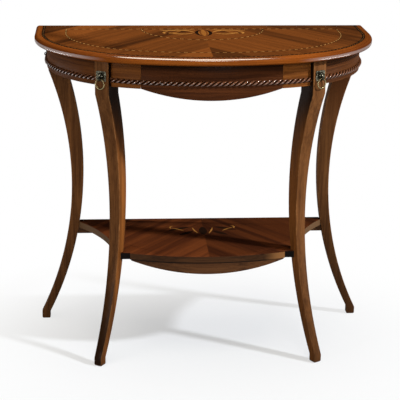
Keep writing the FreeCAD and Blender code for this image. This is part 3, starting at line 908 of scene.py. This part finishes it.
def top_marquetry(name):
    material, shader, start = new_finish(name, veneer_coat)
    place = place_on(start)
    x, y, along, across = slanted(place)
    right = part(place, "X") > 0.0
    grain = place.node("CombineXYZ", {"X": along + right * 3.0, "Y": across, "Z": right * 0.5})
    tone, pores = figure(grain)
    wander = (noise(grain, 4.0, 30.0, 3.0) - 0.5) * 0.012
    at = across + wander - back_y * math.cos(leaf_slant)
    field_left = leaf_tones(at, (-0.28, 0.8), (-0.194, 0.8), (-0.178, 0.42), (-0.022, 0.55), (-0.011, 0.12),
                            (0.032, 0.16), (0.049, 0.6), (0.167, 0.5), (0.183, 0.85), (0.32, 0.7))
    field_right = leaf_tones(at, (-0.28, 0.15), (-0.192, 0.2), (-0.178, 0.62), (0.032, 0.6), (0.049, 0.15),
                             (0.086, 0.2), (0.097, 0.65), (0.183, 0.4), (0.194, 0.15), (0.32, 0.5))
    border_left = leaf_tones(at, (-0.28, 0.9), (-0.194, 0.85), (-0.178, 0.45), (0.054, 0.6), (0.14, 0.45),
                             (0.156, 0.08), (0.17, 0.1), (0.178, 0.8), (0.257, 0.9), (0.264, 0.1),
                             (0.34, 0.05))
    border_right = leaf_tones(at, (-0.28, 0.1), (-0.194, 0.12), (-0.173, 0.42), (0.108, 0.4), (0.14, 0.12),
                              (0.216, 0.1), (0.259, 0.2), (0.27, 0.05), (0.34, 0.05))
    inset = outline_inset(x, y)
    in_border = 1 - (inset > border_width) * (y < back_y - back_border)
    field, border = blend(right, field_left, field_right), blend(right, border_left, border_right)
    matched = blend(in_border, field, border)
    shade = matched.node("RGBToBW", {"Color": matched}) * 0.68 + tone * 0.32
    tint = blend(shade, dark_leaf, light_leaf)
    tint = blend(pores * 0.5, tint, colour(28, 15, 9))
    joint = 1 - rise(inset, *[nosing_width + reach for reach in joint_span])
    tint = blend(joint * 0.85, tint, colour(20, 11, 7))
    polish(shader, tint, tone, pores, 0.32, 0.06)
    return material


def veneer_sheet(node, name, finish):
    """A veneer copied from its solid and scraped down under the inlay, whose height it returns."""
    sheet = nodes[node].copy()
    sheet.data = nodes[node].data.copy()
    sheet.name = sheet.data.name = name
    for key in list(sheet.keys()):
        del sheet[key]
    sheet.parent = None
    sheet.matrix_world = Matrix.Identity(4)
    bpy.context.scene.collection.objects.link(sheet)
    open_mesh(sheet)
    bpy.ops.mesh.remove_doubles(threshold=1e-6)
    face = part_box(node)[1].z
    pick("VERT", lambda vertex: vertex.co.z > face - inlay_step)
    bpy.ops.transform.translate(value=(0, 0, -inlay_step))
    close_mesh()
    sheet.data.materials.clear()
    dress(sheet, finish)
    fit(sheet, "frame", "marquetry_veneer", node)
    return face


def solid_wood(name, pale, dark, joint=None):
    """Plain wood with its grain along X; joint is the height of a glue line that dirt has darkened."""
    material, shader, start = new_finish(name, solid_coat)
    place = place_on(start)
    tone, pores = figure(place)
    tint = blend(pores * 0.5, blend(tone, dark, pale), colour(40, 22, 13))
    if joint:
        away = abs(part(place, "Z") - joint)
        tint = blend(1 - rise(away, *joint_span), tint, colour(14, 8, 5))
    polish(shader, tint, tone, pores, solid_roughness, 0.1)
    return material


sheet_top = veneer_sheet("top_veneer", "top_marquetry_sheet", top_marquetry("top_marquetry"))
finish_solids(solid_wood("board_walnut", colour(128, 78, 44), colour(84, 48, 27)), "top_core")


# Inlay of the top: slips of pale and dark wood let into the veneer and scraped flush with it. A cord of short
# dashes follows the border, the back and a half medallion, which holds a spray of scrolled leaves.
inlay_depth, inlay_lap = 0.0006, inlay_step / 10
cord_step, edge_line = 0.010, 0.008
CORD, EDGE_CORD = (0.0044, (0.010, 0.0026), 0.0205), (edge_line, (0.005, 0.0006), 0.012)
medallion_radius, medallion_y = 0.161, back_y - 0.057
leaf_cuts, leaf_tip, leaf_fullness = 24, 0.12, 0.8
cord_inlay = solid_wood("inlay_cord", colour(206, 154, 90), colour(172, 122, 66))
pale_inlay = solid_wood("inlay_pale", colour(190, 134, 66), colour(150, 98, 44))
gold_inlay = solid_wood("inlay_golden", colour(168, 108, 46), colour(128, 76, 32))
dark_inlay = solid_wood("inlay_dark", colour(40, 24, 14), colour(22, 12, 8))


def slip(name, finish, length, width, top, step):
    """A thin straight slip along X from the origin, its upper face at top."""
    piece = bar(name, (0, -width / 2, top - inlay_depth), (length, width / 2, top), step)
    dress(piece, finish)
    return piece


def cord(name, length, make, path):
    """A dark line with pale dashes in it, laid along a path that maps run and offset to the plan."""
    line, dash, pitch = make
    ground = slip(name, dark_inlay, length, line, sheet_top - inlay_step / 2, cord_step)
    dashes = slip(name + "_dashes", cord_inlay, *dash, sheet_top, dash[0] / 2)
    apply_modifier(
        dashes, "ARRAY", count=int(length / pitch), use_relative_offset=False, use_constant_offset=True,
        constant_offset_displace=(pitch, 0, 0),
    )
    join(ground, dashes)
    bend(ground, path)
    fit(ground, "frame", "marquetry_veneer")


def leaf(name, curve, width, top, finish, paired=True):
    """A leaf swept along a curve through the pull of its control points, and its mirror image beside it."""
    piece = slip(name, finish, 1.0, 2.0, top, 1 / leaf_cuts)
    points = points_of(piece)
    along, side = np.clip(points[:, 0], 0, 1), points[:, 1]
    spine, heading, last = 0, 0, len(curve) - 1
    for number, control in enumerate(np.array(curve)):
        weight = math.comb(last, number) * along ** number * (1 - along) ** (last - number)
        spine = spine + weight[:, None] * control
    for number, step in enumerate(np.diff(np.array(curve), axis=0)):
        weight = math.comb(last - 1, number) * along ** number * (1 - along) ** (last - 1 - number)
        heading = heading + weight[:, None] * step
    heading = heading / np.linalg.norm(heading, axis=1)[:, None]
    half = side * width / 2 * (leaf_tip + (1 - leaf_tip) * np.sin(np.pi * along) ** leaf_fullness)
    points[:, 0] = spine[:, 0] - heading[:, 1] * half
    points[:, 1] = spine[:, 1] + heading[:, 0] * half
    set_points(piece, points)
    if paired:
        apply_modifier(piece, "MIRROR", use_mirror_merge=False)
    fit(piece, "frame", "marquetry_veneer")


def lay_leaves(name, leaves, top, from_y=0.0):
    """Lay numbered leaves over one another, each a hair lower than the one before."""
    for number, (curve, width, finish) in enumerate(leaves):
        placed = [(x, from_y + y) for x, y in curve]
        leaf(name % number, placed, width, top - number * inlay_lap, finish)


border_end = nosing_end - back_border
cord("border_cord", 2 * border_end, CORD,
     lambda run, offset: plan(run - border_end, border_width + offset))
back_end = half_width - border_width
cord("back_cord", 2 * back_end, CORD,
     lambda run, offset: (run - back_end, back_y - back_border + offset))
cord("medallion_cord", math.pi * medallion_radius, CORD,
     lambda run, offset: (-(medallion_radius - offset) * np.cos(run / medallion_radius),
                          medallion_y - (medallion_radius - offset) * np.sin(run / medallion_radius)))
cord("edge_cord", 2 * nosing_end, EDGE_CORD,
     lambda run, offset: plan(run - nosing_end, nosing_width + edge_line / 2 + offset))

SPRAY = [
    ([(0.024, -0.1120), (0.038, -0.0664), (0.072, -0.0640), (0.090, -0.0928), (0.114, -0.0736)],
     0.012, pale_inlay),
    ([(0.028, -0.1216), (0.050, -0.1408), (0.078, -0.1336), (0.092, -0.1072)], 0.009, pale_inlay),
    ([(0.058, -0.0880), (0.074, -0.1120), (0.094, -0.1288)], 0.009, gold_inlay),
    ([(0.092, -0.0952), (0.110, -0.1048), (0.101, -0.1288)], 0.008, pale_inlay),
    ([(0.020, -0.0808), (0.032, -0.0592), (0.052, -0.0688)], 0.009, gold_inlay),
    ([(0.034, -0.1072), (0.052, -0.0952), (0.074, -0.1096)], 0.012, dark_inlay),
    ([(0.044, -0.1240), (0.058, -0.1312), (0.070, -0.1216)], 0.006, dark_inlay),
    ([(0.088, -0.1096), (0.096, -0.1216), (0.092, -0.1336)], 0.006, dark_inlay),
    ([(0.005, -0.0736), (0.0225, -0.0880), (0.0225, -0.1384), (0.006, -0.1600)], 0.009, dark_inlay),
    ([(0.010, -0.0952), (0.0165, -0.1168), (0.010, -0.1408)], 0.005, gold_inlay),
]
lay_leaves("spray_leaf_%d", SPRAY, sheet_top, back_y)
leaf("spray_heart", [(0, back_y - 0.066), (0, back_y - 0.164)], 0.013, sheet_top, gold_inlay, False)


# Shelf: a board dowelled to the legs, veneered as the top is, with a shaped valance under its bowed front
# and a small rail under its back. Its dark edge has painted light on the hollowed sides and the right end,
# and painted shadow at the necks beside the front legs.
def shelf_marquetry(name):
    material, shader, start = new_finish(name, veneer_coat)
    place = place_on(start)
    along, across = slanted(place)[2:]
    right = part(place, "X") > 0.002
    grain = place.node("CombineXYZ", {"X": along + right * 2.0 + 7.0, "Y": across, "Z": right * 0.4 + 1.0})
    tone, pores = figure(grain)
    slow = rise(noise(grain, 1.2, 26.0, 2.0), 0.36, 0.64)
    tint = blend(slow * 0.6 + tone * 0.4, colour(57, 26, 14), colour(114, 60, 29))
    tint = blend(right * 0.35 + pores * 0.4, tint, colour(24, 12, 8))
    polish(shader, tint, tone, pores, 0.34, 0.06)
    return material


shelf_top = veneer_sheet("shelf_veneer", "shelf_marquetry_sheet", shelf_marquetry("shelf_marquetry"))
ROSETTE = [
    ([(0.082, 0.090), (0.064, 0.082), (0.052, 0.064)], 0.004, pale_inlay),
    ([(0.078, 0.108), (0.092, 0.100), (0.084, 0.086)], 0.004, pale_inlay),
    ([(0.027, 0.092), (0.024, 0.066), (0.014, 0.042)], 0.004, pale_inlay),
    ([(0.034, 0.100), (0.060, 0.086), (0.090, 0.070)], 0.016, dark_inlay),
    ([(0.026, 0.062), (0.046, 0.046), (0.064, 0.030)], 0.014, dark_inlay),
]
lay_leaves("shelf_leaf_%d", ROSETTE, shelf_top)
leaf("shelf_heart", [(0, 0.098), (0, 0.030)], 0.022, shelf_top, dark_inlay, False)

shelf_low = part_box("shelf_core")[0].z
lit_right_end, neck_shadow, lit_hollow_sides = (0.14, 0.19), (0.198, 0.2), (-0.095, -0.085)
lip_finish = solid_wood("shelf_lip_walnut", colour(74, 47, 27), colour(44, 27, 15), shelf_low)
valance_finish = solid_wood("shelf_walnut", colour(92, 59, 35), colour(54, 33, 19), shelf_low)
shader, tint = reopen(lip_finish)
place = place_on(tint)
x, y = part(place, "X"), part(place, "Y")
# Painted light on the right end of the lip.
tint = blend(rise(x, *lit_right_end) * 0.5, tint, colour(170, 118, 70))
# Painted shadow at the necks beside the front legs.
tint = blend(rise(abs(x), *neck_shadow), tint, colour(10, 6, 4))
# Painted light on the hollowed sides.
tint = blend(rise(y, *lit_hollow_sides), tint, colour(104, 78, 55))
tint.feed(shader, "Base Color")
finish_solids(lip_finish, "shelf_core")
finish_solids(valance_finish, "shelf_valance", "shelf_back_rail")


# Camera: it stands where the photograph was taken from, a little above the top and to the left of it,
# with a long lens. Its place and its turn were fitted to edges of the table.
film_width, photo_width, focal_pixels = 36, 400, 1408.32
camera_place = (-0.26339, -3.52310, 1.44802)
yaw, pitch, roll = -0.07087, 0.29171, 0.01097


def put(name, data):
    """Put a camera or a lamp into the scene."""
    made = bpy.data.objects.new(name, data)
    bpy.context.scene.collection.objects.link(made)
    return made


camera_data = bpy.data.cameras.new("camera")
camera_data.lens = film_width * focal_pixels / photo_width
camera_data.sensor_width = film_width
camera = put("camera", camera_data)
bpy.context.scene.camera = camera
level_right = Vector((math.cos(yaw), math.sin(yaw), 0))
level_up = Vector((-math.sin(yaw) * math.sin(pitch), math.cos(yaw) * math.sin(pitch), math.cos(pitch)))
right = math.cos(roll) * level_right + math.sin(roll) * level_up
upward = math.cos(roll) * level_up - math.sin(roll) * level_right
turned = Matrix((right, upward, right.cross(upward))).transposed().to_4x4()
camera.matrix_world = Matrix.Translation(camera_place) @ turned


# Studio: a white floor that keeps a soft shadow, and lamps as far off as suns: a broad one high in front,
# a sharper one on the right, and weak ones low in front, on the left and behind. Three strips of light
# stand near the floor round the table, and their lines show in the polish of the moulding.
floor_radius, floor_points, floor_roughness = 120, 96, 0.9
floor_near, floor_far = 0.5, 1.0
floor_unseen, floor_seen = (0.12, 0.12, 0.12, 1), (0.72, 0.76, 0.82, 1)
shadow_heart, shadow_span = (0.0, -0.12, 0), (0.15, 0.9)
strip_stand, strip_height, strip_depth = 2.6, 0.115, 0.14
world_light = 0.02

bpy.ops.mesh.primitive_circle_add(
    vertices=floor_points, radius=floor_radius, fill_type="NGON", location=(0, 0, 0)
)
floor = bpy.context.object
floor.name = "studio_floor"
floor_finish, shader, start = new_finish("floor_white")
shader.inputs["Roughness"].default_value = floor_roughness
paths = start.node("LightPath", result="Is Camera Ray")
seen = paths
for ray in ("Is Glossy Ray", "Is Transmission Ray"):
    seen = seen.math("MAXIMUM", Socket(paths.tree, paths.output.node.outputs[ray]))
blend(seen, floor_unseen, floor_seen).feed(shader, "Base Color")
plain = Socket(start.tree, shader.outputs[0])
glow = start.node("Emission", {"Color": (1, 1, 1, 1), "Strength": 1.0})
spot = place_on(start)
distance = spot.node("VectorMath", {0: spot, 1: shadow_heart}, {"operation": "DISTANCE"}, "Value")
white_share = floor_near + rise(distance, *shadow_span) * (floor_far - floor_near)
mixed = start.node("MixShader", {0: seen * white_share, 1: plain, 2: glow})
mixed.feed(start.tree.nodes["Material Output"], "Surface")
dress(floor, floor_finish)


def lamp(name, azimuth, elevation, spread, strength, tint=(1, 1, 1)):
    """A sun-like lamp; azimuth is from the front towards the right, spread its width in degrees."""
    data = bpy.data.lights.new(name, "SUN")
    data.energy, data.angle, data.color = strength, math.radians(spread), tint
    turn, height = math.radians(azimuth), math.radians(elevation)
    source = Vector((math.sin(turn) * math.cos(height), -math.cos(turn) * math.cos(height), math.sin(height)))
    put(name, data).rotation_euler = source.to_track_quat("Z", "Y").to_euler()


def strip_lamp(name, azimuth, width, strength):
    """A strip of light on a low stand, turned to the table's edge."""
    data = bpy.data.lights.new(name, "AREA")
    data.shape, data.size, data.size_y, data.energy = "RECTANGLE", width, strip_depth, strength
    light = put(name, data)
    turn = math.radians(azimuth)
    light.location = (math.sin(turn) * strip_stand, -math.cos(turn) * strip_stand, strip_height)
    light.rotation_euler = (light.location - Vector((0, 0, leg_top))).to_track_quat("Z", "Y").to_euler()


lamp("lamp_top", -16, 78, 48, 1.5, (1.0, 0.9, 0.74))
lamp("lamp_right", 64, 37, 4.5, 3.3)
lamp("lamp_front", 4, 28, 18, 0.5, (1.0, 0.92, 0.8))
lamp("lamp_front_low", 8, 8, 10, 0.35)
lamp("lamp_left", -50, 8, 10, 0.5)
strip_lamp("strip_right", 84, 1.6, 8.0)
strip_lamp("strip_left", -110, 1.8, 9.0)
strip_lamp("strip_front_left", -38, 0.9, 3.5)
lamp("lamp_back_left", -128, 3, 24, 0.2)
world = bpy.data.worlds.new("studio")
bpy.context.scene.world = world
world.use_nodes = True
background = world.node_tree.nodes["Background"]
background.inputs["Color"].default_value = (1, 1, 1, 1)
background.inputs["Strength"].default_value = world_light
bpy.context.scene.view_settings.view_transform = "Standard"
